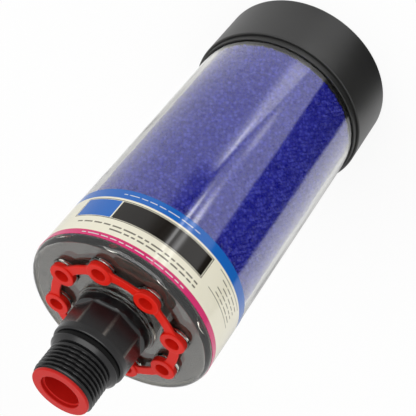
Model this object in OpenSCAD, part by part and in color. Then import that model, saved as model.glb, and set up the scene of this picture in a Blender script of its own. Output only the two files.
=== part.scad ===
// Desiccant breather: a clear cartridge of blue silica gel with a black end cap,
// a black male-threaded spigot and red transit plugs in its air inlets and bore.
// It stands on the end cap, with the spigot pointing up along +Z.
// The origin is the centre of the end cap's flat face. Millimetres.

/* [End cap] */
// Height of the cap's skirt
cap_h = 37.9; // [34:0.1:44]
// Wall of the skirt where it holds the seal
skirt_wall = 1.5; // [1.2:0.1:2.5]
// Thickness of the cap's end wall
cap_end_wall = 3.4; // [2:0.1:5]
// Rounding of the cap's outer end edge
cap_edge_radius = 1.2; // [0.8:0.1:4]
// Height of the inner shelf that carries the tube's rim and the outlet plate
shelf_h = 7; // [5:0.1:9]
// Radial width of that shelf inside the tube's bore
shelf_w = 4; // [3:0.1:6]
// Radial thickness of the seal between the skirt and the tube
seal_t = 1; // [0.8:0.1:1.4]
// Depth to which the seal sits in the skirt
seal_depth = 7.5; // [5:0.1:12]
// Length of seal that stands out of the skirt
seal_lip = 4; // [2:0.1:6]

/* [Housing] */
// Outer diameter of the clear tube
tube_d = 104; // [102:0.1:106]
// Wall of the clear tube
tube_wall = 2.5; // [2.2:0.1:3]
// Length of the clear housing, from its rim to its floor face
tube_l = 207; // [200:0.5:225]
// Thickness of the housing's floor
floor_t = 4; // [3:0.1:5]
// Rounding of the floor's outer edge
foot_radius = 3.5; // [2:0.1:4]
// Wall of the neck around the spigot
neck_wall = 1.75; // [1.4:0.05:2.5]
// Wall of the thin lip at the neck's end
neck_lip_wall = 0.65; // [0.5:0.05:1]
// Height of the neck above the floor
neck_h = 3.5; // [3:0.1:5]
// Height of the neck's thicker part
neck_root_h = 1.8; // [1:0.1:2.4]

/* [Air inlets] */
// Pitch circle diameter of the air inlets
inlet_pcd = 69; // [67:0.5:71]
// Bearing of one inlet from +X
inlet_bearing = 33.75; // [0:0.25:45]
// Bore of each inlet
inlet_bore_d = 8.8; // [8:0.1:9]
// Width of the boss past each plug's head
boss_margin = 0.7; // [0.4:0.1:1]
// Height of the boss round each inlet
boss_h = 1.2; // [0.8:0.1:2]
// Rounding of the boss's edge
boss_radius = 0.5; // [0.3:0.1:0.6]

/* [Plug ring] */
// Diameter of each plug's head
head_d = 13.8; // [13:0.1:14.4]
// Height of each plug's head
head_h = 3.1; // [2.8:0.1:4]
// Rounding of the head's face edge
head_radius = 0.6; // [0.4:0.1:1]
// Mouth diameter of the recess in each head
recess_d = 7.7; // [7:0.1:8.2]
// Bottom diameter of that recess
recess_bottom_d = 6.2; // [5.6:0.1:6.6]
// Depth of that recess
recess_depth = 5.6; // [4:0.1:6]
// Width of the strap between plugs
strap_w = 4.5; // [3:0.1:6]
// Thickness of that strap
strap_t = 1.6; // [1:0.1:1.8]
// Set-back of the strap's face from the heads' faces
strap_setback = 0.8; // [0.4:0.1:1]

/* [Spigot] */
// Outer diameter of the spigot's grip at the neck
grip_d = 41.3; // [40.5:0.1:42]
// Draft of the grip on its radius, from the neck to its rim
grip_draft = 0.65; // [0.4:0.05:0.8]
// Height of the grip above the neck
grip_h = 23.5; // [21:0.1:28]
// Height of the round rim that ends the grip
rim_h = 4; // [2:0.1:5]
// Height at which the flats start above the neck
flat_start = 4; // [3:0.1:8]
// Depth of each flat below the rim
flat_depth = 1.4; // [0.8:0.1:1.6]
// Depth of the groove for the sealing ring
groove_depth = 2.7; // [2:0.05:3]
// Width of the groove for the sealing ring
groove_w = 2.6; // [2.2:0.1:3.2]
// Height of the cone between the sealing ring and the thread
collar_h = 3.75; // [3:0.05:6]
// Set-back of that cone's wide end from the grip's rim
collar_setback = 0.5; // [0.3:0.1:0.8]
// Outside diameter of the male thread, a one-inch pipe thread
thread_d = 33.25; // [32.6:0.05:33.4]
// Pitch of the thread
thread_pitch = 2.309; // [2.1:0.001:2.5]
// Depth of the thread
thread_depth = 1.3; // [1:0.05:1.48]
// Number of thread ridges
thread_turns = 6; // [5:1:8]
// Plain land past the last ridge
thread_land = 1.6; // [0.4:0.05:2]
// Bore of the threaded end
bore_d = 26.6; // [26:0.1:27]
// Outer diameter of the standpipe
standpipe_d = 31; // [30:0.1:31.6]
// Wall of the standpipe
standpipe_wall = 2; // [1.5:0.1:2.2]
// Depth of the spigot's socket that takes the standpipe
socket_depth = 24; // [20:0.5:26]

/* [End plug] */
// Diameter of the end plug's flange
flange_d = 31.3; // [30.6:0.1:32]
// Thickness of that flange
flange_t = 1.5; // [1.2:0.1:2.4]
// Length of the plug's stem below its flange
stem_l = 13; // [12.5:0.1:16]
// Mouth diameter of the plug's recess
end_recess_d = 21.2; // [20:0.1:22]
// Set-in of the recess below its ledge, on the radius
end_ledge_w = 0.8; // [0.5:0.1:1.2]
// Depth of the ledge below the plug's face
end_ledge_depth = 2; // [1.5:0.1:3]
// Depth of the recess
end_recess_depth = 12; // [10:0.1:12.4]

/* [Filter stack] */
// Thickness of the perforated outlet plate
plate_t = 2.5; // [2:0.1:3]
// Diameter of the holes in that plate
plate_hole_d = 6; // [4:0.1:7]
// Thickness of the particulate filter at the cap end
outlet_filter_t = 12; // [9:0.5:14]
// Thickness of the foam pad at the cap end
outlet_foam_t = 17; // [14:0.5:24]
// Thickness of the particulate filter at the inlet end
inlet_filter_t = 12; // [8:0.5:14]
// Thickness of the foam pad at the inlet end
inlet_foam_t = 13; // [8:0.5:14]

/* [Label] */
// Width of the label along the tube
label_w = 33.8; // [28:0.1:36]
// Distance of the label's edge from the start of the floor's rounding
label_margin = 0.2; // [0.1:0.1:1]
// Thickness of the label
label_t = 0.15; // [0.1:0.05:0.3]

/* [Hidden] */
$fn = 96;
// Clearance of parts that slide together, on the radius
slip = 0.1;
// Clearance of parts that are bonded together, on the radius
bond = 0.05;
// Segments in a quarter of a rounded edge
arc_steps = 6;
// Overlap that lets a cutter pass through a face
eps = 0.5;
// Number of air inlets, and of the flats on the spigot's grip
inlet_count = 8;
flat_count = 8;
// Number of holes in each of the outlet plate's two rings
plate_holes = 12;

tube_r = tube_d / 2;
tube_in_r = tube_r - tube_wall;
stack_r = tube_in_r - 0.3;
seal_in_r = tube_r + bond;
seal_out_r = seal_in_r + seal_t;
skirt_in_r = seal_out_r + bond;
cap_r = skirt_in_r + skirt_wall;
shelf_r = tube_in_r - shelf_w;
seal_z = cap_h - seal_depth;
rim_z = cap_end_wall + shelf_h;
foot_z = rim_z + tube_l;
floor_z = foot_z - floor_t;
neck_z = foot_z + neck_h;
neck_bore_r = grip_d / 2 + bond;
inlet_r = inlet_pcd / 2;
boss_r = head_d / 2 + boss_margin;
boss_z = foot_z + boss_h;
head_z = boss_z + head_h;
stem_r = inlet_bore_d / 2 - slip;
stem_z = floor_z + 0.5;
grip_r = grip_d / 2;
rim_r = grip_r - grip_draft;
grip_z = neck_z + grip_h;
flat_top_z = grip_z - rim_h;
flat_low_z = neck_z + flat_start;
flat_r = rim_r - flat_depth;
thread_r = thread_d / 2;
root_r = thread_r - thread_depth;
groove_r = rim_r - groove_depth;
collar_z = grip_z + groove_w;
thread_z = collar_z + collar_h;
spigot_z = thread_z + thread_turns * thread_pitch + thread_land;
crest_w = 0.2 * thread_pitch;
flank_w = 0.3 * thread_pitch;
bore_r = bore_d / 2;
standpipe_r = standpipe_d / 2;
socket_r = standpipe_r + bond;
socket_z = floor_z + socket_depth;
inner_holes_r = 0.25 * shelf_r + 0.75 * socket_r;
outer_holes_r = 0.8 * shelf_r;
plug_stem_r = bore_r - slip;
plug_face_z = spigot_z + flange_t;
plug_edge = 0.5;
filter_z = rim_z + plate_t;
foam_z = filter_z + outlet_filter_t;
gel_z = foam_z + outlet_foam_t;
inlet_foam_z = floor_z - inlet_foam_t;
inlet_filter_z = inlet_foam_z - inlet_filter_t;
label_top_z = foot_z - foot_radius - label_margin;

// Points of an arc about (x, y), from angle a to angle b
function arc(x, y, r, a, b) =
    [for (i = [0:arc_steps]) let (t = a + (b - a) * i / arc_steps) [x + r * cos(t), y + r * sin(t)]];

// Points of one thread ridge that starts at height z
function ridge(z) = [[root_r, z], [thread_r, z + flank_w], [thread_r, z + flank_w + crest_w],
                     [root_r, z + 2 * flank_w + crest_w]];

// Points of all the thread ridges
function ridges() = [for (i = [0:thread_turns - 1]) each ridge(thread_z + i * thread_pitch)];

// A solid of revolution from a profile of [radius, height] points
module turned(profile) {
    rotate_extrude() polygon(profile);
}

// A flat or tall ring
module ring(outer_r, inner_r, z, h) {
    translate([0, 0, z]) difference() {
        cylinder(r = outer_r, h = h);
        translate([0, 0, -eps]) cylinder(r = inner_r, h = h + 2 * eps);
    }
}

// Copies of a child at every air inlet
module at_inlets() {
    for (i = [0:inlet_count - 1])
        rotate([0, 0, inlet_bearing + i * 360 / inlet_count]) translate([inlet_r, 0, 0]) children();
}

// Moulded cap: end wall, skirt that holds the seal, and the inner shelf
module end_cap() {
    color([0.13, 0.13, 0.13]) turned(concat(
        [[0, 0]],
        arc(cap_r - cap_edge_radius, cap_edge_radius, cap_edge_radius, -90, 0),
        [[cap_r, cap_h], [skirt_in_r, cap_h], [skirt_in_r, seal_z], [seal_in_r, seal_z],
         [seal_in_r, rim_z], [shelf_r, rim_z], [shelf_r, cap_end_wall], [0, cap_end_wall]]));
}

// Seal between the cap's skirt and the tube
module cap_seal() {
    color([0.2, 0.2, 0.2]) ring(seal_out_r, seal_in_r, seal_z, seal_depth + seal_lip);
}

// Clear moulded cup: tube, floor, stepped neck for the spigot and a boss round each air inlet
module housing() {
    color([0.85, 0.88, 0.92, 0.35]) difference() {
        union() {
            turned(concat(
                [[tube_r, rim_z]],
                arc(tube_r - foot_radius, foot_z - foot_radius, foot_radius, 0, 90),
                [[neck_bore_r + neck_wall, foot_z], [neck_bore_r + neck_wall, foot_z + neck_root_h],
                 [neck_bore_r + neck_lip_wall, foot_z + neck_root_h], [neck_bore_r + neck_lip_wall, neck_z],
                 [neck_bore_r, neck_z], [neck_bore_r, floor_z], [tube_in_r, floor_z], [tube_in_r, rim_z]]));
            at_inlets() translate([0, 0, foot_z - eps]) turned(concat(
                [[0, 0], [boss_r, 0]],
                arc(boss_r - boss_radius, eps + boss_h - boss_radius, boss_radius, 0, 90),
                [[0, eps + boss_h]]));
        }
        at_inlets() translate([0, 0, floor_z - eps])
            cylinder(d = inlet_bore_d, h = floor_t + boss_h + 2 * eps);
    }
}

// Printed wrap-round label
module label() {
    color([0.93, 0.91, 0.85]) ring(tube_r + bond + label_t, tube_r + bond, label_top_z - label_w, label_w);
}

// Pipe that carries the dried air from under the outlet plate to the spigot
module standpipe() {
    color([0.9, 0.9, 0.88]) ring(standpipe_r, standpipe_r - standpipe_wall, rim_z, socket_z - rim_z);
}

// Moulded spigot: standpipe socket, drafted grip with flats, groove, collar and thread ridges
module thread_adapter() {
    color([0.1, 0.1, 0.1]) difference() {
        turned(concat(
            [[grip_r, floor_z], [grip_r, neck_z], [rim_r, grip_z], [groove_r, grip_z],
             [groove_r, collar_z], [rim_r - collar_setback, collar_z], [thread_r, thread_z]],
            ridges(),
            [[root_r, spigot_z], [bore_r, spigot_z], [bore_r, socket_z],
             [socket_r, socket_z], [socket_r, floor_z]]));
        for (i = [0:flat_count - 1]) rotate([0, 0, (i + 0.5) * 360 / flat_count])
            translate([flat_r, -grip_r, flat_low_z]) cube([grip_r, 2 * grip_r, flat_top_z - flat_low_z]);
    }
}

// Flat rubber ring in the groove under the spigot's collar
module adapter_seal() {
    color([0.08, 0.08, 0.08]) ring(rim_r - slip, groove_r + bond, grip_z, groove_w);
}

// Push-in plug that closes the spigot's bore until the breather is fitted
module end_plug() {
    color([0.84, 0.1, 0.09]) turned(concat(
        [[0, spigot_z - stem_l], [plug_stem_r, spigot_z - stem_l], [plug_stem_r, spigot_z],
         [flange_d / 2, spigot_z]],
        arc(flange_d / 2 - plug_edge, plug_face_z - plug_edge, plug_edge, 0, 90),
        [[end_recess_d / 2, plug_face_z], [end_recess_d / 2, plug_face_z - end_ledge_depth],
         [end_recess_d / 2 - end_ledge_w, plug_face_z - end_ledge_depth],
         [end_recess_d / 2 - end_ledge_w, plug_face_z - end_recess_depth],
         [0, plug_face_z - end_recess_depth]]));
}

// One moulded ring of inlet plugs, joined head to head by straps
module inlet_plug_ring() {
    color([0.84, 0.1, 0.07]) difference() {
        union() {
            ring(inlet_r + strap_w / 2, inlet_r - strap_w / 2, head_z - strap_setback - strap_t, strap_t);
            at_inlets() turned(concat(
                [[0, stem_z], [stem_r, stem_z], [stem_r, boss_z], [head_d / 2, boss_z]],
                arc(head_d / 2 - head_radius, head_z - head_radius, head_radius, 0, 90),
                [[0, head_z]]));
        }
        at_inlets() translate([0, 0, head_z - recess_depth]) cylinder(
            d1 = recess_bottom_d,
            d2 = recess_d + eps * (recess_d - recess_bottom_d) / recess_depth,
            h = recess_depth + eps);
    }
}

// A disc of the filter stack, with a hole for the standpipe
module stack_disc(z, t) {
    ring(stack_r, socket_r, z, t);
}

// Perforated plate on the cap's shelf that carries the stack
module outlet_plate() {
    color([0.3, 0.3, 0.3]) difference() {
        stack_disc(rim_z, plate_t);
        for (i = [0:plate_holes - 1]) rotate([0, 0, i * 360 / plate_holes]) {
            translate([inner_holes_r, 0, rim_z - eps])
                cylinder(d = plate_hole_d, h = plate_t + 2 * eps);
            rotate([0, 0, 180 / plate_holes]) translate([outer_holes_r, 0, rim_z - eps])
                cylinder(d = plate_hole_d, h = plate_t + 2 * eps);
        }
    }
}

// Particulate filter at the cap end
module outlet_filter() {
    color([0.9, 0.89, 0.85]) stack_disc(filter_z, outlet_filter_t);
}

// Open-cell foam pad at the cap end
module outlet_foam() {
    color([0.2, 0.2, 0.19]) stack_disc(foam_z, outlet_foam_t);
}

// Bed of blue silica gel beads
module silica_gel() {
    color([0.1, 0.1, 0.62]) stack_disc(gel_z, inlet_filter_z - gel_z);
}

// Particulate filter at the inlet end
module inlet_filter() {
    color([0.9, 0.89, 0.85]) stack_disc(inlet_filter_z, inlet_filter_t);
}

// Open-cell foam pad behind the housing's floor
module inlet_foam() {
    color([0.2, 0.2, 0.19]) stack_disc(inlet_foam_z, inlet_foam_t);
}

end_cap();
cap_seal();
housing();
label();
outlet_plate();
outlet_filter();
outlet_foam();
silica_gel();
inlet_filter();
inlet_foam();
standpipe();
thread_adapter();
adapter_seal();
end_plug();
inlet_plug_ring();
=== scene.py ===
# %% [markdown]
# # A desiccant breather
# The breather is a clear plastic cartridge full of blue silica gel. It has a black cap at one end,
# a black threaded spigot at the other, and red plugs that close its air ways until it is fitted.
# This lesson loads the CAD frame, builds each visible piece as a numpy surface on that frame,
# gives every piece a finish made of nodes, and sets a plain white studio around it.

# %% Load the frame
import numpy as np
import bpy
import bmesh
from mathutils import Matrix


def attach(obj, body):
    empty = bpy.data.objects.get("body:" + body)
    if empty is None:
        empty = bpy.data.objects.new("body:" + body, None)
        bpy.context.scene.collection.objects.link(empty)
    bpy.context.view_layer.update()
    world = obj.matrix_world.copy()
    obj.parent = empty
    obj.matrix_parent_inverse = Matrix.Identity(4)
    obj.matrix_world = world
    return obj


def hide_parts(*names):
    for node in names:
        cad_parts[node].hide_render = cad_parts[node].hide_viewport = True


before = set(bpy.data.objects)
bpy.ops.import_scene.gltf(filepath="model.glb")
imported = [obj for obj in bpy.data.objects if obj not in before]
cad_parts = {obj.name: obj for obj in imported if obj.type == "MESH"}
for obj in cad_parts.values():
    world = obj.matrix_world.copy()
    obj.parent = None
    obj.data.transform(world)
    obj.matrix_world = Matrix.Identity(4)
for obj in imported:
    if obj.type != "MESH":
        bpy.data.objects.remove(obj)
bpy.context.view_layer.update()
MM = 0.001

# %% [markdown]
# ## Sizes
# The same sizes as in the part's source, in millimetres. Heights run from the cap's flat face
# towards the spigot. The label's dark panel faces -Y, where the camera stands. Sizes that only one
# piece needs stand in that piece's own cell.

# %% Sizes of the cap, the housing and what it holds
TUBE_R, TUBE_IN_R = 52.0, 49.5
CAP_R, CAP_H, CAP_WALL, CAP_EDGE, SHELF_R = 54.6, 37.9, 3.4, 1.2, 45.5
SKIRT_IN_R, SEAL_OUT_R, SEAL_IN_R = 53.1, 53.05, 52.05
SEAL_Z, SEAL_TOP_Z = CAP_H - 7.5, CAP_H + 4.0
RIM_Z, FOOT_Z, FOOT_ROUND = 10.4, 217.4, 3.5
FLOOR_Z = FOOT_Z - 4.0
NECK_R, NECK_LIP_R, NECK_BORE_R = 22.45, 21.35, 20.7
NECK_ROOT_Z, NECK_Z = FOOT_Z + 1.8, FOOT_Z + 3.5
INLETS, INLET_R, INLET_BEARING, INLET_BORE_R = 8, 34.5, 33.75, 4.4
BOSS_R, BOSS_Z = 7.6, FOOT_Z + 1.2
FOAM_Z, GEL_Z, INLET_FOAM_Z = RIM_Z + 14.5, RIM_Z + 31.5, FLOOR_Z - 13.0
GEL_TOP_Z, STACK_R, SOCKET_R = INLET_FOAM_Z - 12.0, 49.2, 15.55
print("tube diameter", 2 * TUBE_R, "mm, cap diameter", 2 * CAP_R, "mm")

# %% Sizes of the spigot
GRIP_R, RIM_R, GRIP_Z = 20.65, 20.0, NECK_Z + 23.5
FLAT_LOW_Z, FLAT_TOP_Z, FLAT_R, FLAT_ARCH = NECK_Z + 4.0, GRIP_Z - 4.0, 18.6, 1.5
FLAT_SPAN = np.pi / 4
GROOVE_R, COLLAR_Z, COLLAR_R = 17.3, GRIP_Z + 2.6, 19.5
THREAD_R, THREAD_DEPTH, PITCH, THREAD_Z = 16.625, 1.3, 2.309, COLLAR_Z + 3.75
SPIGOT_Z = THREAD_Z + 6 * PITCH + 1.6
BORE_R, SOCKET_Z = 13.3, FLOOR_Z + 24.0
FACE_Z = SPIGOT_Z + 1.5
print("overall height", FACE_Z, "mm")

# %% [markdown]
# ## Helpers for turned pieces
# Most of these pieces were moulded in round tools, so they are surfaces of revolution. A profile is
# a list of corners, each with its own edge rounding, and the surface carries it round the axis.

# %% Profiles and grids
def round_corners(corners, steps=5, closed=True):
    """Corners (radius, height, rounding) to a profile: an arc tangent to both sides replaces each corner.
    A guard point just past each end of the arc keeps the shading of the straight sides straight."""
    c = np.array(corners, float)
    parts = []
    for i, (p, rounding) in enumerate(zip(c[:, :2], c[:, 2])):
        if rounding <= 0 or (not closed and i in (0, len(c) - 1)):
            parts.append(p[None])
            continue
        a = c[i - 1, :2] - p
        b = c[(i + 1) % len(c), :2] - p
        side_a, side_b = np.linalg.norm(a), np.linalg.norm(b)
        a, b = a / side_a, b / side_b
        half = 0.5 * np.arccos(np.clip(a @ b, -1, 1))
        reach = min(rounding / np.tan(half), 0.45 * side_a, 0.45 * side_b)
        radius = reach * np.tan(half)
        centre = p + (a + b) / np.linalg.norm(a + b) * radius / np.sin(half)
        v0, v1 = p + a * reach - centre, p + b * reach - centre
        sweep = np.arccos(np.clip(v0 @ v1 / radius ** 2, -1, 1))
        k = np.linspace(0, 1, steps + 1)[:, None]
        arc = centre + (np.sin((1 - k) * sweep) * v0 + np.sin(k * sweep) * v1) / np.sin(sweep)
        before = p + a * min(1.25 * reach, 0.48 * side_a)
        after = p + b * min(1.25 * reach, 0.48 * side_b)
        parts += [before[None], arc, after[None]]
    return np.concatenate(parts)


def grid_quads(rows, cols, wrap_rows=False, wrap_cols=True):
    """Corner indices of the quads of a rows x cols grid, joined end to end where a direction wraps."""
    i = np.arange(rows if wrap_rows else rows - 1)[:, None]
    j = np.arange(cols if wrap_cols else cols - 1)[None, :]
    i1, j1 = (i + 1) % rows, (j + 1) % cols
    quads = [i * cols + j, i * cols + j1, i1 * cols + j1, i1 * cols + j]
    return np.stack([np.broadcast_to(q, (i.size, j.size)) for q in quads], -1).reshape(-1, 4)


def turned(profile, segments=192, start=0.0):
    """A profile's points at every angle: (r cos t, r sin t, z). Returns a rows x segments grid of points."""
    t = np.radians(start) + np.arange(segments) * 2 * np.pi / segments
    r, z = profile[:, 0:1], profile[:, 1:2]
    return np.stack([r * np.cos(t), r * np.sin(t), np.broadcast_to(z, (len(r), segments))], -1)


def lathe(corners, segments=192, steps=5, closed=True):
    """Vertices and quads of a turned piece from its rounded corners, run counter-clockwise in (r, z)."""
    points = turned(round_corners(corners, steps, closed), segments)
    return points.reshape(-1, 3), grid_quads(len(points), segments, wrap_rows=closed)


print("a test ring has", len(lathe([(2, 0, .2), (3, 0, .2), (3, 1, .2), (2, 1, .2)], 24)[1]), "quads")

# %% Putting a surface into Blender
def join(*surfaces):
    """Several (vertices, faces) pairs as one, with each face's indices moved past the earlier vertices."""
    offsets = np.cumsum([0] + [len(v) for v, f in surfaces[:-1]])
    return (np.concatenate([v for v, f in surfaces]),
            np.concatenate([f + o for (v, f), o in zip(surfaces, offsets)]))


def piece(name, surface, finish, body="breather", nodes=(), sharp=35):
    """Makes a mesh object from (vertices in mm, faces), merges seams and poles, and rides it on a body."""
    verts, faces = surface
    mesh = bpy.data.meshes.new(name)
    mesh.vertices.add(len(verts))
    mesh.vertices.foreach_set("co", np.ascontiguousarray(verts * MM, np.float32).ravel())
    mesh.loops.add(faces.size)
    mesh.loops.foreach_set("vertex_index", np.ascontiguousarray(faces, np.int32).ravel())
    mesh.polygons.add(len(faces))
    mesh.polygons.foreach_set("loop_start", np.arange(0, faces.size, faces.shape[1], dtype=np.int32))
    mesh.update(calc_edges=True)
    bm = bmesh.new()
    bm.from_mesh(mesh)
    bmesh.ops.remove_doubles(bm, verts=bm.verts, dist=2e-7)
    bmesh.ops.dissolve_degenerate(bm, edges=bm.edges, dist=1e-7)
    bm.to_mesh(mesh)
    bm.free()
    mesh.validate()
    mesh.polygons.foreach_set("use_smooth", np.ones(len(mesh.polygons), bool))
    mesh.set_sharp_from_angle(angle=np.radians(sharp))
    obj = bpy.data.objects.new(name, mesh)
    bpy.context.scene.collection.objects.link(obj)
    for one in (finish if isinstance(finish, list) else [finish]):
        mesh.materials.append(one)
    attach(obj, body)
    if nodes:
        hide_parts(*nodes)
    print(f"{name}: {len(mesh.vertices)} vertices, {len(mesh.polygons)} faces on {body}")
    return obj


def set_points(mesh, name, values):
    """Stores one number for each point of a mesh as a named attribute, for a finish to read."""
    numbers = mesh.attributes.new(name, "FLOAT", "POINT")
    numbers.data.foreach_set("value", np.asarray(values, np.float32).ravel())


# %% [markdown]
# ## Helpers for finishes
# Colours are written as sRGB hex values, as a colour picker shows them, and turned to linear light.
# One function adds a node, sets its properties and fills its inputs with values or links.

# %% Colours and nodes
def linear(code):
    """sRGB hex to linear RGBA: c/12.92 in the dark, ((c + 0.055)/1.055)^2.4 above."""
    c = np.array([int(code[i:i + 2], 16) for i in (1, 3, 5)]) / 255
    c = np.where(c <= 0.04045, c / 12.92, ((c + 0.055) / 1.055) ** 2.4)
    return (*c, 1.0)


def add(tree, kind, inputs=None, **settings):
    """Adds one node to a tree: settings are its properties, inputs are socket values or links."""
    node = tree.nodes.new(kind)
    for key, value in settings.items():
        setattr(node, key, value)
    for key, value in (inputs or {}).items():
        if isinstance(value, bpy.types.NodeSocket):
            tree.links.new(value, node.inputs[key])
        else:
            node.inputs[key].default_value = value
    return node


def new_finish(name):
    """An empty material with its output node: returns (material, node tree, output)."""
    material = bpy.data.materials.new(name)
    material.use_nodes = True
    tree = material.node_tree
    tree.nodes.clear()
    return material, tree, add(tree, "ShaderNodeOutputMaterial")


print("white is", linear("#ffffff"))

# %% A moulded finish
MOTTLE_MM, PLASTIC_IOR = 14, 1.5


def moulded(name, dark, pale, roughness, grain_mm, grain_depth_mm, gloss=0.5, painted_highlight=None):
    """A moulded finish: a faint two-tone mottle for the colour and a fine grain for the bump. Where the
    mesh's painted highlight mask is 1, the grain lets a pale colour through as a painted highlight."""
    material, tree, output = new_finish(name)
    spot = add(tree, "ShaderNodeTexCoord").outputs["Object"]
    mottle = add(tree, "ShaderNodeTexNoise", {"Vector": spot, "Scale": 1 / (MOTTLE_MM * MM), "Detail": 4.0})
    tone = add(tree, "ShaderNodeMix", {"Factor": mottle.outputs["Fac"], "A": linear(dark), "B": linear(pale)},
               data_type="RGBA")
    grain = add(tree, "ShaderNodeTexNoise", {"Vector": spot, "Scale": 1 / (grain_mm * MM), "Detail": 3.0})
    bump = add(tree, "ShaderNodeBump", {"Height": grain.outputs["Fac"], "Strength": 1.0,
                                        "Distance": grain_depth_mm * MM})
    if painted_highlight:
        painted_highlight_mask = add(tree, "ShaderNodeAttribute", attribute_name="painted_highlight_mask")
        painted_highlight_in_grain = add(tree, "ShaderNodeMath", {0: painted_highlight_mask.outputs["Fac"], 1: grain.outputs["Fac"]},
                     operation="MULTIPLY")
        tone = add(tree, "ShaderNodeMix", {"Factor": painted_highlight_in_grain.outputs[0], "A": tone.outputs["Result"],
                                           "B": linear(painted_highlight)}, data_type="RGBA")
    shine = add(tree, "ShaderNodeBsdfPrincipled", {
        "Base Color": tone.outputs["Result"], "Roughness": roughness, "IOR": PLASTIC_IOR,
        "Specular IOR Level": gloss, "Normal": bump.outputs["Normal"]})
    tree.links.new(shine.outputs["BSDF"], output.inputs["Surface"])
    return material


print("moulded finishes have a mottle of", MOTTLE_MM, "mm")

# %% [markdown]
# ## Finishes
# The cap is satin ABS, the spigot a glossier black nylon, the plugs soft red polyethylene and the
# seals plain rubber. They differ mostly in gloss, so each gets its own roughness and grain, and the
# grain's size and depth are in millimetres.

# %% Plastics and rubbers
# ABS from a fine-sparked tool: a soft grey sheen without mirror images
black_abs = moulded("satin_black_abs", "#242424", "#2b2b2a", 0.42, 0.5, 0.004)
# Nylon from a smooth tool: deep black with clear highlights, and a pale painted highlight along its corners,
# where their edges catch the light
NYLON = ("#0d0d0e", "#141415", 0.27, 1.2, 0.01, 0.38)
black_nylon = moulded("black_nylon", *NYLON)
# The pale colour given here is a painted highlight along the grip's corners
nylon_with_painted_corner_highlights = moulded("black_nylon_with_painted_corner_highlights", *NYLON, painted_highlight="#85817a")
# Rubber: the spigot's sealing ring is near-black with almost no highlight, a painted shade for its deep
# groove, and a greyer bloom on the cap's seal
rubber_with_painted_groove_shade = moulded("black_rubber_with_painted_groove_shade", "#0b0b0b", "#121212", 0.6, 0.4, 0.01, 0.12)
skirt_rubber = moulded("grey_black_rubber", "#1b1b1b", "#252524", 0.45, 0.4, 0.01)
# Soft polyethylene: a full red with a waxy, broad highlight
red_polyethylene = moulded("soft_red_polyethylene", "#c2150a", "#cc1e0f", 0.46, 1.5, 0.012, 0.18)
red_cap_polyethylene = moulded("soft_red_polyethylene_cap", "#ae130d", "#b81b14", 0.46, 1.5, 0.012, 0.18)
print("plastics and rubbers made")

# %% Tube, foam and felt
# Extruded polypropylene: milky white and slightly glossy
white_tube = moulded("white_polypropylene", "#dcdcd6", "#e6e6e0", 0.4, 1.0, 0.01)
# Open-cell foam: matt and pitted, darker where the cap shades it
grey_foam = moulded("open_cell_polyurethane_foam", "#33312e", "#5c5953", 0.9, 1.1, 0.35)
dark_foam = moulded("open_cell_polyurethane_foam_in_shade", "#1d1c1b", "#343230", 0.9, 1.1, 0.35)
# Needled felt: off-white and quite without gloss
white_felt = moulded("filter_felt", "#d2cfc4", "#e8e6dd", 0.9, 0.6, 0.15)
print("tube, foam and felt made")

# %% [markdown]
# ## Clear polycarbonate
# The housing is injection-moulded polycarbonate with an index of 1.58, polished by its tool. A very
# slow ripple in its surface makes the edges of reflections wander a little. A faint warm tint in its
# volume shows only where the eye looks along the wall, at the tube's edges and in the thick floor.

# %% Clear housing finish
RIPPLE_MM, RIPPLE_DEPTH_MM, RIPPLE_STRETCH = 16, 0.1, 0.45
clear_pc, tree, output = new_finish("clear_polycarbonate")
place = add(tree, "ShaderNodeTexCoord")
stretch = add(tree, "ShaderNodeMapping", {"Vector": place.outputs["Object"],
                                          "Scale": (1.0, 1.0, RIPPLE_STRETCH)})
ripple = add(tree, "ShaderNodeTexNoise", {"Vector": stretch.outputs["Vector"], "Scale": 1 / (RIPPLE_MM * MM),
                                          "Detail": 1.5})
bump = add(tree, "ShaderNodeBump", {"Height": ripple.outputs["Fac"], "Strength": 1.0,
                                    "Distance": RIPPLE_DEPTH_MM * MM})
shine = add(tree, "ShaderNodeBsdfPrincipled", {
    "Base Color": linear("#fbfcfc"), "Roughness": 0.02, "IOR": 1.58, "Transmission Weight": 1.0,
    "Normal": bump.outputs["Normal"]})
tree.links.new(shine.outputs["BSDF"], output.inputs["Surface"])
tint = add(tree, "ShaderNodeVolumeAbsorption", {"Color": linear("#d6d1c3"), "Density": 52.0})
tree.links.new(tint.outputs["Volume"], output.inputs["Volume"])
print("clear housing finish made")

# %% [markdown]
# ## End cap and its seal
# The cap is a plain deep cup with a rounded end edge. Its skirt holds a dark rubber seal that stands
# a few millimetres out of the skirt, so the mouth shows an outer rim, a dark gap and an inner ring.

# %% End cap and cap seal
cap = lathe([(0, 0, 0), (CAP_R, 0, CAP_EDGE), (CAP_R, CAP_H, 0.5), (SKIRT_IN_R, CAP_H, 0.4),
             (SKIRT_IN_R, SEAL_Z, 0), (SEAL_IN_R, SEAL_Z, 0), (SEAL_IN_R, RIM_Z, 0), (SHELF_R, RIM_Z, 0),
             (SHELF_R, CAP_WALL, 0.5), (0, CAP_WALL, 0)], closed=False)
piece("cap_shell", cap, black_abs, nodes=["end_cap"])
seal = lathe([(SEAL_IN_R, SEAL_Z, 0), (SEAL_OUT_R, SEAL_Z, 0), (SEAL_OUT_R, SEAL_TOP_Z, 0.35),
              (SEAL_IN_R, SEAL_TOP_Z, 0.2)], steps=4)
piece("cap_seal_ring", seal, skirt_rubber, nodes=["cap_seal"])

# %% [markdown]
# ## Clear housing
# The housing is one moulding: the tube, its floor, a stepped neck, and a boss with a bore at each air
# inlet. The tube and the neck are turned. The floor is worked out one sector at a time, as quads that
# run from the sector's outline to the circle of its boss, so that the bores are real holes.

# %% Housing floor
PER_SECTOR, SIDE_STEPS = 32, 8
HALF_SECTOR = np.radians(180 / INLETS)


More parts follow.
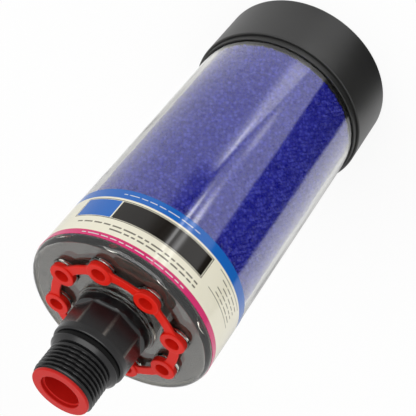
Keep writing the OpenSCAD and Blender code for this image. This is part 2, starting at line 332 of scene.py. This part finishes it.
def floor_sector(r_in, r_out):
    """Outline of one floor sector in its own frame, as an (n, 2) array: outer arc, side, inner arc, side."""
    a = np.linspace(-HALF_SECTOR, HALF_SECTOR, PER_SECTOR + 1)
    s = np.linspace(r_out, r_in, SIDE_STEPS + 2)[1:-1]
    return np.concatenate([
        np.c_[r_out * np.cos(a), r_out * np.sin(a)],
        np.c_[s * np.cos(HALF_SECTOR), s * np.sin(HALF_SECTOR)],
        np.c_[r_in * np.cos(a[::-1]), r_in * np.sin(a[::-1])],
        np.c_[s[::-1] * np.cos(HALF_SECTOR), -s[::-1] * np.sin(HALF_SECTOR)]])


def around(points):
    """A sector's points (rows, n, 3) copied to every inlet by turning them about Z."""
    t = np.radians(INLET_BEARING + np.arange(INLETS) * 360 / INLETS)
    c, s = np.cos(t)[:, None, None], np.sin(t)[:, None, None]
    x, y, z = points[None, ..., 0], points[None, ..., 1], points[None, ..., 2]
    return np.stack([c * x - s * y, s * x + c * y, np.broadcast_to(z, (INLETS,) + z.shape[1:])], -1)


tube_profile = round_corners([(TUBE_IN_R, FLOOR_Z, 0), (TUBE_IN_R, RIM_Z, 0), (TUBE_R, RIM_Z, 0),
                              (TUBE_R, FOOT_Z, FOOT_ROUND), (NECK_R, FOOT_Z, 0)], 8, closed=False)[:-1]
top_edge = floor_sector(NECK_R, tube_profile[-1, 0])
low_edge = floor_sector(NECK_BORE_R, TUBE_IN_R)
away = top_edge - [INLET_R, 0]
away = away / np.linalg.norm(away, axis=1, keepdims=True)
boss = round_corners([(BOSS_R, FOOT_Z, 0), (BOSS_R, BOSS_Z, 0.5), (INLET_BORE_R, BOSS_Z, 0.3),
                      (INLET_BORE_R, FLOOR_Z, 0)], 4, closed=False)
rows = [np.c_[top_edge, np.full(len(top_edge), FOOT_Z)]]
rows += [np.c_[[INLET_R, 0] + r * away, np.full(len(away), z)] for r, z in boss]
rows += [np.c_[low_edge, np.full(len(low_edge), FLOOR_Z)]]
floor_parts = [(p.reshape(-1, 3), grid_quads(p.shape[0], p.shape[1])) for p in around(np.stack(rows))]
print("one floor sector has", len(rows), "rows of", len(top_edge), "points")

# %% Tube, neck and the whole housing
ROUND = INLETS * PER_SECTOR
start = INLET_BEARING - 180 / INLETS
tube = turned(tube_profile, ROUND, start)
neck_profile = round_corners([(NECK_R, FOOT_Z, 0), (NECK_R, NECK_ROOT_Z, 0.5), (NECK_LIP_R, NECK_ROOT_Z, 0.3),
                              (NECK_LIP_R, NECK_Z, 0.25), (NECK_BORE_R, NECK_Z, 0.15),
                              (NECK_BORE_R, FLOOR_Z, 0)], 4, closed=False)
neck = turned(neck_profile, ROUND, start)
housing = join((tube.reshape(-1, 3), grid_quads(len(tube), ROUND)),
               (neck.reshape(-1, 3), grid_quads(len(neck), ROUND)), *floor_parts)
piece("clear_housing", housing, clear_pc, nodes=["housing"], sharp=30)

# %% [markdown]
# ## Filter stack
# Under the clear wall, foam pads close the gel bed at both ends. They are simple discs with soft edges.
# The felt filters, the plate and the standpipe stay as the CAD made them, because nothing shows them.

# %% Foam pads and hidden pieces
# The open-cell foam touches the clear floor only at its high points, so a thin gap of air stays between
FOAM_GAP = 0.5
# The beads sink a little into the middle of the lower pad, so that its rim stands above their bed
FOAM_LIP = 1.4
for name, node, z0, z1, finish in (
        ("outlet_foam_pad", "outlet_foam", FOAM_Z, GEL_Z + FOAM_LIP, dark_foam),
        ("inlet_foam_pad", "inlet_foam", INLET_FOAM_Z, FLOOR_Z - FOAM_GAP, grey_foam)):
    pad = lathe([(SOCKET_R, z0, 0.6), (STACK_R, z0, 0.8), (STACK_R, z1, 0.8), (SOCKET_R, z1, 0.6)], 128, 3)
    piece(name, pad, finish, nodes=[node])
for node, finish in (("outlet_filter", white_felt), ("inlet_filter", white_felt),
                     ("outlet_plate", black_nylon), ("standpipe", white_tube)):
    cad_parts[node].data.materials.clear()
    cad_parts[node].data.materials.append(finish)
print("hidden CAD pieces finished")

# %% [markdown]
# ## Silica gel beads
# The gel is a packed bed of glassy blue beads, 2.3 to 2.8 mm across. Only the layer against the wall
# can be seen, so beads are set on a jittered hexagonal grid round the wall, over a plain blue core that
# stands for the beads behind. Each bead is a small closed ball of a few dozen faces, and keeps a random
# tone as an attribute: part real variation, part painted highlight, as the paler beads stand in for glints.

# %% Bead finish
# Glassy gel: small sharp highlights on every bead, over a blue that varies at random from bead to bead; its
# paler end is a painted highlight
blue_gel, tree, output = new_finish("cobalt_blue_silica_gel")
tone = add(tree, "ShaderNodeAttribute", attribute_name="bead_tone_and_painted_glint")
colour = add(tree, "ShaderNodeMix", {"Factor": tone.outputs["Fac"], "A": linear("#181cc8"),
                                     "B": linear("#585df2")}, data_type="RGBA")
shine = add(tree, "ShaderNodeBsdfPrincipled", {"Base Color": colour.outputs["Result"], "Roughness": 0.2,
                                               "IOR": 1.46})
tree.links.new(shine.outputs["BSDF"], output.inputs["Surface"])
# Gel behind the first layer: the same blue, rough and a little darker, seen in the gaps
gel_core = moulded("silica_gel_in_shade", "#181bbc", "#2225d4", 0.6, 2.2, 0.3)
print("bead finishes made")

# %% Places of the beads
rng = np.random.default_rng(7)
SPACING, BEAD_R = 2.36, (1.16, 1.4)
ROW_STEP = SPACING * 0.866
BED_R, CORE_R = 48.2, 48.0
BED_Z = GEL_Z + FOAM_LIP
rows_n = int((GEL_TOP_Z - BED_Z - 1.8) / ROW_STEP) + 1
cols_n = int(2 * np.pi * BED_R / SPACING)
row, col = np.meshgrid(np.arange(rows_n), np.arange(cols_n), indexing="ij")
bead_r = rng.uniform(*BEAD_R, row.shape)
angle = (col + 0.5 * (row % 2) + rng.uniform(-0.26, 0.26, row.shape)) * 2 * np.pi / cols_n
height = BED_Z + 1.0 + row * ROW_STEP + rng.uniform(-0.55, 0.55, row.shape)
height = np.clip(height, BED_Z + 0.6 * bead_r, GEL_TOP_Z - bead_r)
reach = STACK_R - 0.02 - bead_r - rng.uniform(0, 1, row.shape) ** 2 * 0.7
centres = np.stack([reach * np.cos(angle), reach * np.sin(angle), height], -1)
print("beads:", rows_n, "rows of", cols_n)

# %% Beads and the core behind them
BEAD_GROUPS, TONE_POWER = 3, 1.1


def ball():
    """A closed ball of 3 rings of 6 points and two poles: (sin p cos t, sin p sin t, cos p).
    Returns its vertices and triangles."""
    t = np.arange(6) * np.pi / 3
    p = np.radians([45, 90, 135])[:, None]
    rings = np.stack([np.sin(p) * np.cos(t + p), np.sin(p) * np.sin(t + p),
                      np.broadcast_to(np.cos(p), (3, 6))], -1)
    verts = np.concatenate([[[0, 0, 1]], rings.reshape(-1, 3), [[0, 0, -1]]])
    j, k = np.arange(6), (np.arange(6) + 1) % 6
    faces = [np.c_[np.zeros(6, int), 1 + j, 1 + k], np.c_[np.full(6, 19), 13 + k, 13 + j]]
    for r in (1, 7):
        faces += [np.c_[r + j, r + 6 + j, r + k], np.c_[r + k, r + 6 + j, r + 6 + k]]
    return verts, np.concatenate(faces)


unit, unit_faces = ball()
for k, part in enumerate(np.array_split(np.arange(rows_n), BEAD_GROUPS)):
    c, r = centres[part].reshape(-1, 3), bead_r[part].ravel()
    # Two turns are drawn for each bead, and the first is enough to hide the balls' common facets
    spin = rng.uniform(0, 2 * np.pi, (2, len(c)))[0][:, None]
    x, y, z = unit.T[:, None, :]
    u = np.stack([x * np.cos(spin) - z * np.sin(spin), np.broadcast_to(y, (len(c), len(unit))),
                  x * np.sin(spin) + z * np.cos(spin)], -1)
    verts = (c[:, None, :] + u * r[:, None, None]).reshape(-1, 3)
    faces = (unit_faces[None] + (np.arange(len(c)) * len(unit))[:, None, None]).reshape(-1, 3)
    beads = piece(f"gel_beads_{k + 1}", (verts, faces), blue_gel, sharp=180)
    # Random tone for each bead: the paler tones are a painted highlight standing in for glints
    set_points(beads.data, "bead_tone_and_painted_glint", np.repeat(rng.uniform(0, 1, len(c)) ** TONE_POWER, len(unit)))
core = lathe([(SOCKET_R, GEL_Z, 0), (CORE_R, GEL_Z, 0.5), (CORE_R, GEL_TOP_Z, 0.5), (SOCKET_R, GEL_TOP_Z, 0)],
             128, 3)
piece("gel_core", core, gel_core, nodes=["silica_gel"])

# %% [markdown]
# ## Printed label
# The label is a glossy printed film wrapped round the tube. Its fields are printed inks, so the mesh is
# cut along every field's edge and each face takes an ink. The layout is generic: stripes, a dark panel
# with a blue block, and plain bars where a real one has print.

# %% Inks
# Inks under a clear film: flat, even colours with one sharp mirror-like gloss over all of them
INK_TONES = (("cream_film", "#ebe6d0", "#efebd8"), ("blue_ink", "#1560b8", "#1c69c0"),
             ("magenta_ink", "#d0246a", "#d62b70"), ("black_ink", "#1a1713", "#1f1b17"),
             ("grey_ink", "#6f6a5e", "#7b7668"), ("pale_ink", "#cfd6da", "#d8dee0"))
inks = [moulded(name, dark, pale, 0.08, 6.0, 0.01) for name, dark, pale in INK_TONES]
CREAM, BLUE, MAGENTA, BLACK, GREY, PALE = range(6)
print("inks made:", len(inks))

# %% Fields of the label
LABEL_TOP_Z, LABEL_R, LABEL_IN_R = FOOT_Z - FOOT_ROUND - 0.2, 52.2, 51.97
LABEL_Z = LABEL_TOP_Z - 33.8
WORD_GAP, WORD_SPAN = 1.3, (2.2, 7.5)
print_rng = np.random.default_rng(11)


def print_line(a, b, z, tall, ink):
    """Plain bars from bearing a to b that stand in for a line of print: random lengths with even gaps."""
    length = print_rng.uniform(*WORD_SPAN, 40)
    end = a + np.cumsum(length + WORD_GAP) - WORD_GAP
    return [(e - n, e, z, z + tall, ink) for e, n in zip(end[end < b], length)]


# Each field: from bearing, to bearing, from height above the label's lower edge, to height, ink
fields = [(-180, 180, 0, 6.1, BLUE), (-180, 180, 30.4, 33.8, MAGENTA),
          (-112.7, -27.8, 7.4, 20.7, BLACK), (-112.2, -28.3, 7.8, 20.3, CREAM),
          (-111.8, -53.2, 8.1, 20.0, BLACK), (-52.4, -28.7, 8.1, 20.0, BLUE),
          (-150, -119, 7.6, 8.0, GREY), (-150, -119, 20.0, 20.4, GREY)]
fields += print_line(-113, -30, 24.2, 0.9, GREY)
fields += print_line(-113, -52, 26.6, 0.9, GREY)
fields += print_line(-98, -46, 2.8, 0.5, PALE)
fields += print_line(-108, -40, 31.9, 0.5, PALE)
for k in range(4):
    fields += print_line(-148, -121 - 3 * (k % 2), 10.0 + 2.6 * k, 0.6, GREY)
    fields += print_line(40, 120 - 9 * (k % 2), 10.0 + 2.6 * k, 0.6, GREY)
fields = [(a, b, LABEL_Z + z0, LABEL_Z + z1, ink) for a, b, z0, z1, ink in fields]
print("label fields:", len(fields))

# %% Label surface
cuts = np.concatenate([np.arange(-180, 181, 2.0), [f[0] for f in fields], [f[1] for f in fields]])
bearings = np.unique(np.round(cuts, 3))[:-1]
heights = np.unique(np.round([LABEL_Z, LABEL_TOP_Z] + [f[2] for f in fields] + [f[3] for f in fields], 3))
section = np.concatenate([np.c_[np.full(len(heights), LABEL_R), heights],
                          np.c_[[LABEL_IN_R, LABEL_IN_R], [LABEL_TOP_Z, LABEL_Z]]])
t = np.radians(bearings)
points = np.stack([section[:, :1] * np.cos(t), section[:, :1] * np.sin(t),
                   np.broadcast_to(section[:, 1:], (len(section), len(t)))], -1)
film = (points.reshape(-1, 3), grid_quads(len(section), len(t), wrap_rows=True))
label = piece("printed_label", film, inks, nodes=["label"], sharp=40)
middles = np.empty(len(label.data.polygons) * 3, np.float32)
label.data.polygons.foreach_get("center", middles)
middles = middles.reshape(-1, 3) / MM
bearing = np.degrees(np.arctan2(middles[:, 1], middles[:, 0]))
ink = np.full(len(middles), CREAM, np.int32)
for a, b, z0, z1, index in fields:
    ink[(bearing > a) & (bearing < b) & (middles[:, 2] > z0) & (middles[:, 2] < z1)] = index
label.data.polygons.foreach_set("material_index", ink)
print("faces per ink:", np.bincount(ink).tolist())

# %% [markdown]
# ## Threaded spigot
# The spigot is one nylon moulding. Its grip is a slightly drafted cone with eight upright flats that
# start in arches, and its end carries a real helical thread. Both are height fields over (angle,
# height): the flats take the smaller of the cone and the plane, and the thread adds a ridge that
# climbs one pitch a turn.

# %% Grip, thread and plain stretches
TURNS_AT = 240
t = np.arange(TURNS_AT) * 2 * np.pi / TURNS_AT
# Shares of a pitch: where the first ridge starts, how wide a flank is, and how much of it the root takes
THREAD_START, FLANK, ROOT_SHARE = 0.1, 0.3, 0.33
TIP, LEAD, STEP_UP = 0.4, 0.6, 0.002


def grip_rows():
    """Radius rows of the grip: the lesser of the cone's radius and each flat's plane, d(z) / cos(angle to
    its middle). The plane's distance d falls along a quarter ellipse where the flat starts: the arch."""
    z = np.concatenate([[NECK_Z], np.arange(NECK_Z + 1, FLAT_TOP_Z, 0.3),
                        FLAT_TOP_Z + np.array([0, STEP_UP])])[:, None]
    cone = GRIP_R - (GRIP_R - RIM_R) * (z - NECK_Z) / (GRIP_Z - NECK_Z)
    u = np.clip((z - FLAT_LOW_Z) / FLAT_ARCH, 0, 1)
    plane = FLAT_R + (GRIP_R - FLAT_R) * (1 - np.sqrt(1 - (1 - u) ** 2))
    off = t[None] % FLAT_SPAN - FLAT_SPAN / 2
    radius = np.where(z > FLAT_TOP_Z + STEP_UP / 2, cone, np.minimum(cone, plane / np.cos(off)))
    return radius, np.broadcast_to(z, radius.shape)


def thread_rows():
    """Radius rows of the thread: root plus a trapezoid ridge of height/pitch - turns, fading at both ends."""
    z = np.linspace(THREAD_Z, SPIGOT_Z - TIP, 132)[:, None]
    phase = ((z - THREAD_Z) / PITCH - t[None] / (2 * np.pi) - THREAD_START) % 1.0
    ridge = np.clip((0.5 - np.abs(phase - 0.5)) / FLANK - ROOT_SHARE, 0, 1)
    lead_in = np.clip((z - THREAD_Z) / LEAD, 0, 1)
    lead_out = np.clip((SPIGOT_Z - TIP - z) / LEAD, 0, 1)
    radius = THREAD_R - THREAD_DEPTH * (1 - ridge * lead_in)
    radius = np.minimum(radius, THREAD_R - LEAD + LEAD * lead_out)
    return radius, np.broadcast_to(z, radius.shape)


def plain_rows(corners, steps=4):
    """Rows of a plain turned stretch, the same radius all round."""
    p = round_corners(corners, steps, closed=False)
    return np.broadcast_to(p[:, :1], (len(p), TURNS_AT)), np.broadcast_to(p[:, 1:], (len(p), TURNS_AT))


print("grip rows:", len(grip_rows()[0]), "thread rows:", len(thread_rows()[0]))

# %% Spigot surface
# Radii of the rim's start, the collar's end, the relief before the thread, and the tip
RIM_START_R, COLLAR_END_R, RELIEF_R, TIP_R, TIP_END_R = 20.1, 17.0, 15.4, 15.6, 15.5
COLLAR_END_Z, RELIEF_Z = COLLAR_Z + 2.3, COLLAR_Z + 2.9
stretches = [
    plain_rows([(GRIP_R, FLOOR_Z, 0), (GRIP_R, NECK_Z - 0.2, 0)]),
    grip_rows(),
    plain_rows([(RIM_START_R, FLAT_TOP_Z + 0.3, 0), (RIM_R, GRIP_Z, 1.2), (GROOVE_R, GRIP_Z, 0),
                (GROOVE_R, COLLAR_Z, 0), (COLLAR_R, COLLAR_Z, 0.7), (COLLAR_END_R, COLLAR_END_Z, 0.4),
                (RELIEF_R, RELIEF_Z, 0.3), (THREAD_R - THREAD_DEPTH, THREAD_Z - 0.05, 0)]),
    thread_rows(),
    plain_rows([(TIP_R, SPIGOT_Z - TIP, 0), (TIP_END_R, SPIGOT_Z, 0.15), (BORE_R, SPIGOT_Z, 0.15),
                (BORE_R, SOCKET_Z, 0), (SOCKET_R, SOCKET_Z, 0), (SOCKET_R, FLOOR_Z, 0)])]
radius = np.concatenate([s[0] for s in stretches])
height = np.concatenate([s[1] for s in stretches])
points = np.stack([radius * np.cos(t), radius * np.sin(t), height], -1)
surface = (points.reshape(-1, 3), grid_quads(len(points), TURNS_AT, wrap_rows=True))
spigot = piece("threaded_spigot", surface, nylon_with_painted_corner_highlights, nodes=["thread_adapter"], sharp=28)

# %% Painted highlights along the grip's corners
HIGHLIGHT_WIDTH = 2.2
spots = np.empty(len(spigot.data.vertices) * 3, np.float32)
spigot.data.vertices.foreach_get("co", spots)
x, y, z = spots.reshape(-1, 3).T.astype(float) / MM
off_corner = np.degrees((np.arctan2(y, x) + FLAT_SPAN / 2) % FLAT_SPAN - FLAT_SPAN / 2)
# The painted highlight grows along each flat, strongest at its end near the rim
along = np.clip((z - FLAT_LOW_Z) / (FLAT_TOP_Z - FLAT_LOW_Z), 0, 1)
# A band of painted highlight on each corner of the grip, fading off the corner's line
painted_highlight_mask = np.exp(-(off_corner / HIGHLIGHT_WIDTH) ** 2) * along * (z < FLAT_TOP_Z + STEP_UP / 2)
painted_highlight_mask = painted_highlight_mask * (np.hypot(x, y) > FLAT_R - 0.1)
set_points(spigot.data, "painted_highlight_mask", painted_highlight_mask)
print("worn points along the corners:", int((painted_highlight_mask > 0.5).sum()))

# %% Sealing ring of the spigot
RING_R, RING_IN_R = 18.5, GROOVE_R + 0.05
ring = lathe([(RING_IN_R, GRIP_Z, 0.3), (RING_R, GRIP_Z, 0.9), (RING_R, COLLAR_Z, 0.9),
              (RING_IN_R, COLLAR_Z, 0.3)])
# The ring's near-black rubber is painted shade for the groove it sits in
piece("spigot_seal", ring, rubber_with_painted_groove_shade, nodes=["adapter_seal"])

# %% [markdown]
# ## Red plugs
# The end plug is a flanged cup pressed into the spigot's bore. The inlet plugs are one moulding: eight
# cupped heads with stems, joined by thin straps that widen where they run into the heads.

# %% End plug
PLUG_R, FLANGE_R, PLUG_LOW_Z = 13.2, 15.65, SPIGOT_Z - 13
MOUTH_R, LEDGE_R, CUP_END_R = 10.6, 9.8, 9.6
LEDGE_Z, CUP_END_Z = FACE_Z - 2, FACE_Z - 12
plug = lathe([(0, PLUG_LOW_Z, 0), (PLUG_R, PLUG_LOW_Z, 0.8), (PLUG_R, SPIGOT_Z, 0), (FLANGE_R, SPIGOT_Z, 0.3),
              (FLANGE_R, FACE_Z, 0.55), (MOUTH_R, FACE_Z, 0.5), (MOUTH_R, LEDGE_Z, 0.2),
              (LEDGE_R, LEDGE_Z, 0.25), (CUP_END_R, CUP_END_Z, 0.6), (0, CUP_END_Z, 0)], 160, closed=False)
piece("bore_plug", plug, red_cap_polyethylene, body="end_plug", nodes=["end_plug"])

# %% Heads of the inlet plugs
HEAD_R, HEAD_Z, STEM_R, STEM_Z = 6.9, BOSS_Z + 3.1, 4.3, FLOOR_Z + 0.5
DIMPLE_R, DIMPLE_END_R, DIMPLE_Z = 3.85, 3.1, HEAD_Z - 5.4
head_v, head_f = lathe([(0, STEM_Z, 0), (STEM_R, STEM_Z, 0.4), (STEM_R, BOSS_Z, 0), (HEAD_R, BOSS_Z, 0.2),
                        (HEAD_R, HEAD_Z, 0.6), (DIMPLE_R, HEAD_Z, 0.4), (DIMPLE_END_R, DIMPLE_Z, 0.5),
                        (0, DIMPLE_Z, 0)], 48, 4, closed=False)
heads = around((head_v + [INLET_R, 0, 0])[None])[:, 0]
print("inlet plug heads:", len(heads))

# %% Straps and the whole ring of plugs
STRAP_HALF, STRAP_FLARE, STRAP_START, STRAP_DROP = 2.6, 1.5, 5.2, 1.6


def strap():
    """One strap: a rounded rectangle carried along the pitch circle between two heads, wider at its ends.
    Each end closes in a point at the middle of its section, inside a head."""
    k = np.linspace(0, 1, 25)
    reach = np.degrees(STRAP_START / INLET_R)
    a = np.radians(reach + (360 / INLETS - 2 * reach) * k)[:, None]
    corner = round_corners([(-1, -0.8, 0.3), (1, -0.8, 0.3), (1, 0.8, 0.3), (-1, 0.8, 0.3)], 3)
    width = (STRAP_HALF + STRAP_FLARE * np.abs(2 * k - 1) ** 6)[:, None]
    r = INLET_R + width * corner[None, :, 0]
    z = np.broadcast_to(HEAD_Z - STRAP_DROP + corner[None, :, 1], r.shape)
    body = np.stack([r * np.cos(a), r * np.sin(a), z], -1)
    ends = np.repeat(body.mean(1, keepdims=True)[[0, -1]], body.shape[1], 1)
    return np.concatenate([ends[:1], body, ends[1:]])


one = strap()
straps = around(one.reshape(1, -1, 3))[:, 0]
strap_f = grid_quads(one.shape[0], one.shape[1])[:, ::-1]
plugs = join(*[(v, head_f) for v in heads], *[(v, strap_f) for v in straps])
piece("inlet_plugs_moulding", plugs, red_polyethylene, body="inlet_plugs",
      nodes=["inlet_plug_ring"])

# %% [markdown]
# ## Studio
# The photograph has a white sweep on every side. The floor is pale and matt, and keeps a soft shadow.
# Rays from the camera, and rays that gloss or clear plastic sent on, see it nearly as white, so the
# picture's ground comes from the floor's own colour and not from more light on the object.

# %% Floor
FLOOR_WHITE, FLOOR_HALF = 0.88, 4000
paper, tree, output = new_finish("white_paper_sweep")
matt = add(tree, "ShaderNodeBsdfDiffuse", {"Color": linear("#f4f4f3"), "Roughness": 0.5})
glow = add(tree, "ShaderNodeEmission", {"Color": (1, 1, 1, 1), "Strength": 1.0})


def seen_rays(tree):
    """A 0 or 1 output that is 1 for rays from the camera and for rays that gloss or clear plastic sent on."""
    path = add(tree, "ShaderNodeLightPath")
    seen = path.outputs["Is Camera Ray"]
    for kind in ("Is Glossy Ray", "Is Transmission Ray"):
        seen = add(tree, "ShaderNodeMath", {0: seen, 1: path.outputs[kind]}, operation="MAXIMUM").outputs[0]
    return seen


def stage_sheet(name, points, faces, finish):
    """A stage sheet, which isn't part of the object, from points in millimetres and faces."""
    mesh = bpy.data.meshes.new(name)
    mesh.from_pydata((np.array(points, float) * MM).tolist(), [], faces)
    mesh.materials.append(finish)
    sheet = bpy.data.objects.new(name, mesh)
    bpy.context.scene.collection.objects.link(sheet)
    return sheet


share = add(tree, "ShaderNodeMath", {0: seen_rays(tree), 1: FLOOR_WHITE}, operation="MULTIPLY")
mix = add(tree, "ShaderNodeMixShader", {0: share.outputs[0], 1: matt.outputs[0], 2: glow.outputs[0]})
tree.links.new(mix.outputs[0], output.inputs["Surface"])
corners = np.array([(-1, -1, 0), (1, -1, 0), (1, 1, 0), (-1, 1, 0)]) * FLOOR_HALF
stage_sheet("floor", corners, [[0, 1, 2, 3]], paper)
print("floor laid")

# %% Camera
EYE, TARGET, ROLL, LENS = np.array([0.0, -443.8, 469.4]), np.array([-3.1, 0.0, 127.9]), -142.8, 87.89
forward = (TARGET - EYE) / np.linalg.norm(TARGET - EYE)
side = np.cross(forward, [0, 0, 1])
side = side / np.linalg.norm(side)
rise = np.cross(side, forward)
c, s = np.cos(np.radians(ROLL)), np.sin(np.radians(ROLL))
right, up = c * side + s * rise, c * rise - s * side
lens = bpy.data.cameras.new("camera")
lens.lens = LENS
lens.sensor_width = 36.0
lens.clip_start = 0.01
lens.clip_end = 20.0
camera = bpy.data.objects.new("camera", lens)
camera.matrix_world = Matrix(np.r_[np.c_[right, up, -forward, EYE * MM], [[0, 0, 0, 1]]].tolist())
bpy.context.scene.collection.objects.link(camera)
bpy.context.scene.camera = camera
print("camera at", EYE, "mm, lens", LENS, "mm")

# %% [markdown]
# ## What the clear wall mirrors
# A clear tube shows its surroundings as much as itself. On the real one there is a dark gap beside the
# camera, and two window-like streaks with a narrow shadow between them. One sheet on the floor stands in
# for all that. It is laid out with mirror rays, so that each of its points shows at a chosen bearing and
# height on the tube, and its brightness is a formula over that bearing and height.

# %% Brightness of the surroundings
def bell(x, middle, width):
    """A smooth bump of height 1 round a middle: exp(-((x - middle) / width)^2)."""
    return np.exp(-((x - middle) / width) ** 2)


def step(x, edge, width):
    """A smooth step from 0 to 1 across an edge: 1 / (1 + exp(-(x - edge) / width))."""
    return 1 / (1 + np.exp(-np.clip((x - edge) / width, -30, 30)))


# Bearings of the dark gap's two edges, where the wall turns from the bright side to the duller one, and
# where its far edge begins. Heights are above the tube's rim.
GAP_FROM, GAP_TO, DULL_FROM, FAR_EDGE = -132.5, -102.0, -80, -158
WEDGE_Z, CAP_MOUTH_Z = 37, 28


def surroundings(bearing, z):
    """Brightness at a bearing and height of the tube: white left of the camera, duller right of it, with the
    dark gap, a wedge of light that narrows upwards, a streak beside it and the shadow between them. The
    sheet fades to plain white past the tube's foot."""
    h = z - RIM_Z
    right = step(bearing, DULL_FROM, 2.5)
    level = 1.08 - right * (0.36 - 0.24 * bell(h, 32, 30)) - 0.5 * step(-bearing, -FAR_EDGE, 4)
    # The wedge of light, with a brighter core half of the way up
    wedge_left = -91.5 + 0.078 * (h - WEDGE_Z)
    wedge_right = -80.5 - 0.012 * (h - WEDGE_Z)
    wedge = step(bearing, wedge_left, 0.35) * step(-bearing, -wedge_right, 1.0) * step(-h, -133, 2.5)
    level = level + step(h, 35, 1.5) * wedge * (1.2 + 2.2 * bell(bearing, -84, 1.0) * bell(h, 110, 22))
    # The streak beside it, and two bright ends near the label
    streak = bell(bearing, -92 + 1.2 * bell(h, 132, 22), 1.5)
    level = level + streak * (1.5 * bell(h, 97, 20) + 4.2 * step(h, 152, 7))
    level = level + 5.0 * step(h, 154, 5) * bell(bearing, -87.2, 0.8)
    # The narrow shadow between them, and the dark slot that follows it
    shade = step(bearing, wedge_left - 1.6, 0.3) * step(-bearing, -wedge_left, 0.3) * step(h, 92, 12)
    slot = step(h, 136, 3) * step(bearing, -85.5, 0.4) * step(-bearing, 74.5, 1.8)
    # The dark gap, crisp on the tube and blurred on the satin cap
    on_cap = step(-h, -CAP_MOUTH_Z, 0.8)
    blur = 0.3 + 3.2 * on_cap
    gap_from, gap_to = GAP_FROM - 5 * on_cap, -GAP_TO - 2 * on_cap + 0.032 * h
    gap = step(bearing, gap_from, 1.2 * blur) * step(-bearing, gap_to, blur)
    level = level * (1 - 0.65 * shade) * (1 - 0.88 * slot) * (1 - 0.99 * gap)
    return 1 + (level - 1) * step(-z, -(FOOT_Z - 3), 4)


sample = surroundings(np.array([-118.0, -98.0]), np.array([90.0, 90.0]))
print("brightness at the gap and beside it:", sample.round(2))

# %% Sheet that only reflections see
SHEET_Z, SHEET_FROM, SHEET_TO, SHEET_STEP = 0.5, -171.6, -14, 0.4


def mirrored(bearing, z):
    """Where the tube's mirror ray from a bearing and height meets the sheet. The wall is upright, so the ray
    keeps its fall and turns about the wall's normal n: out = v - 2 (v . n) n."""
    n = np.stack([np.cos(np.radians(bearing)), np.sin(np.radians(bearing))], -1)
    wall = TUBE_R * n
    v = wall - EYE[:2]
    run = np.linalg.norm(v, axis=-1, keepdims=True)
    out = (v - 2 * (v * n).sum(-1, keepdims=True) * n) / run
    fall = (EYE[2] - z)[..., None] / run
    meets = wall + out * (z[..., None] - SHEET_Z) / fall
    return np.concatenate([meets, np.full(z.shape + (1,), SHEET_Z)], -1)


bearing, z = np.meshgrid(np.arange(SHEET_FROM, SHEET_TO, SHEET_STEP), np.linspace(1, FOOT_Z + 15, 97),
                         indexing="ij")
glow_sheet, tree, output = new_finish("mirrored_surroundings")
level = add(tree, "ShaderNodeAttribute", attribute_name="brightness")
glow = add(tree, "ShaderNodeEmission", {"Color": (1, 1, 1, 1), "Strength": level.outputs["Fac"]})
tree.links.new(glow.outputs[0], output.inputs["Surface"])
sheet_quads = grid_quads(*bearing.shape, wrap_cols=False).tolist()
sheet = stage_sheet("mirrored_surroundings", mirrored(bearing, z).reshape(-1, 3), sheet_quads, glow_sheet)
set_points(sheet.data, "brightness", surroundings(bearing, z))
sheet.visible_camera = False
sheet.visible_diffuse = False
sheet.visible_shadow = False
sheet.visible_volume_scatter = False
print("mirrored sheet:", len(sheet_quads), "faces")

# %% [markdown]
# ## Light
# The room is a plain white world, dimmer for the light it gives than for the rays that see it, and one
# large softbox overhead. Together they light the object at a level at which its colours render about as
# they are written.

# %% Room and softbox
ROOM_LIGHT, SOFTBOX_WATTS, SOFTBOX_SIZE = 0.75, 6.5, 0.9
world = bpy.data.worlds.new("white_room")
world.use_nodes = True
tree = world.node_tree
tree.nodes.clear()
walls = add(tree, "ShaderNodeBackground", {"Color": (1, 1, 1, 1), "Strength": ROOM_LIGHT})
backdrop = add(tree, "ShaderNodeBackground", {"Color": (1, 1, 1, 1), "Strength": 1.0})
mix = add(tree, "ShaderNodeMixShader", {0: seen_rays(tree), 1: walls.outputs[0], 2: backdrop.outputs[0]})
add(tree, "ShaderNodeOutputWorld", {"Surface": mix.outputs[0]})
bpy.context.scene.world = world
lamp = bpy.data.lights.new("overhead_softbox", "AREA")
lamp.shape = "RECTANGLE"
lamp.size = SOFTBOX_SIZE
lamp.size_y = SOFTBOX_SIZE
lamp.energy = SOFTBOX_WATTS
softbox = bpy.data.objects.new("overhead_softbox", lamp)
tilt = Matrix.Rotation(0.28, 4, "X") @ Matrix.Rotation(0.2, 4, "Y")
softbox.matrix_world = Matrix.Translation((0.25, -0.35, 1.2)) @ tilt
bpy.context.scene.collection.objects.link(softbox)
bpy.context.scene.view_settings.view_transform = "Standard"
print("white room and one softbox lit")
